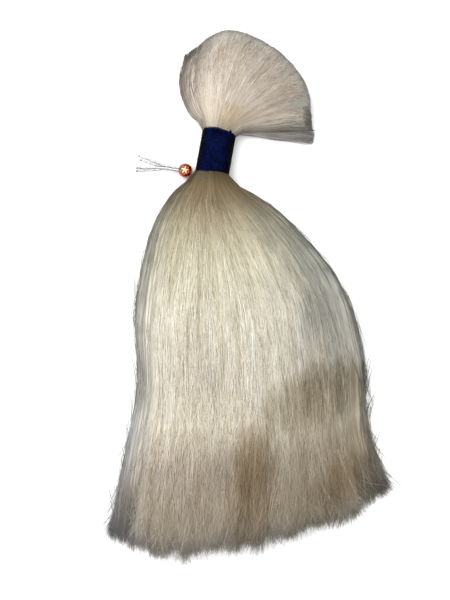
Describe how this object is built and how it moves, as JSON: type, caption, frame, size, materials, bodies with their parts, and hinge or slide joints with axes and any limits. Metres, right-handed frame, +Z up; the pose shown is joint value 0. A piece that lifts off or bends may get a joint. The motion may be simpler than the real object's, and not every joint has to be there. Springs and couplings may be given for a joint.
{
  "type": "bound hair bundle for a calligraphy brush head",
  "caption": "Bundle of long white goat hair for a large writing brush, bound at its waist with navy thread, with a small red glass bead on white cords.",
  "frame": {"origin": "on the table, under the middle of the box round the hair and its binding (without the charm's cords and bead)", "axes": "+Z up from the table the bundle lies on, +Y along the bound waist towards the short fan, +X to the right seen from above with the fan ahead"},
  "size_m": [0.1662, 0.2886, 0.042],
  "materials": {
    "skirt_hair": "silky ivory goat hair, tan at the waist and grey at the tips",
    "fan_hair": "pale cream goat hair, root ends",
    "navy_thread": "plied navy cotton thread, matt",
    "white_cord": "thin white cord",
    "red_glass": "glossy red glass",
    "gold_leaf": "gold leaf fired on glass"
  },
  "bodies": {
    "binding": {"waist_hair": "fan_hair", "under_whipping": "navy_thread", "outer_whipping": "navy_thread", "whipping_knot": "navy_thread", "crossing_threads": "navy_thread", "cord_loop": "white_cord"},
    "skirt": {"skirt_core_hair": "skirt_hair", "skirt_side_lock_left": "skirt_hair", "skirt_side_lock_right": "skirt_hair", "skirt_cover_lock_1": "skirt_hair", "skirt_cover_lock_2": "skirt_hair", "skirt_cover_lock_3": "skirt_hair", "skirt_cover_lock_4": "skirt_hair", "skirt_cover_lock_5": "skirt_hair", "skirt_under_lock_1": "skirt_hair", "skirt_under_lock_2": "skirt_hair", "skirt_under_lock_3": "skirt_hair", "skirt_under_lock_4": "skirt_hair"},
    "fan": {"fan_core_hair": "fan_hair", "fan_side_lock_left": "fan_hair", "fan_side_lock_right": "fan_hair", "fan_cover_lock_1": "fan_hair", "fan_cover_lock_2": "fan_hair", "fan_cover_lock_3": "fan_hair", "fan_cover_lock_4": "fan_hair", "fan_under_lock_1": "fan_hair", "fan_under_lock_2": "fan_hair", "fan_under_lock_3": "fan_hair", "fan_loose_wisp": "fan_hair"},
    "charm_cords": {"cord_1": "white_cord", "cord_2": "white_cord", "cord_3": "white_cord", "cord_4": "white_cord"},
    "bead": {"glass_bead": "red_glass", "gold_blossom": "gold_leaf"}
  },
  "joints": [
    {"name": "skirt_sway", "type": "hinge", "parent": "binding", "child": "skirt", "pos_m": [-0.04774, 0.0615, 0.0094], "axis": [0, 0, 1], "range_deg": [-12, 10], "stiffness_Nm_per_rad": 0.05},
    {"name": "fan_sway", "type": "hinge", "parent": "binding", "child": "fan", "pos_m": [-0.04774, 0.0905, 0.0094], "axis": [0, 0, 1], "range_deg": [-12, 15], "stiffness_Nm_per_rad": 0.03},
    {"name": "charm_swing", "type": "hinge", "parent": "binding", "child": "charm_cords", "pos_m": [-0.05684, 0.06335, 0.004], "axis": [0, 0, 1], "range_deg": [-40, 0]},
    {"name": "bead_slide", "type": "slide", "parent": "charm_cords", "child": "bead", "axis": [-1, 0, 0], "range_m": [0, 0.006]}
  ]
}
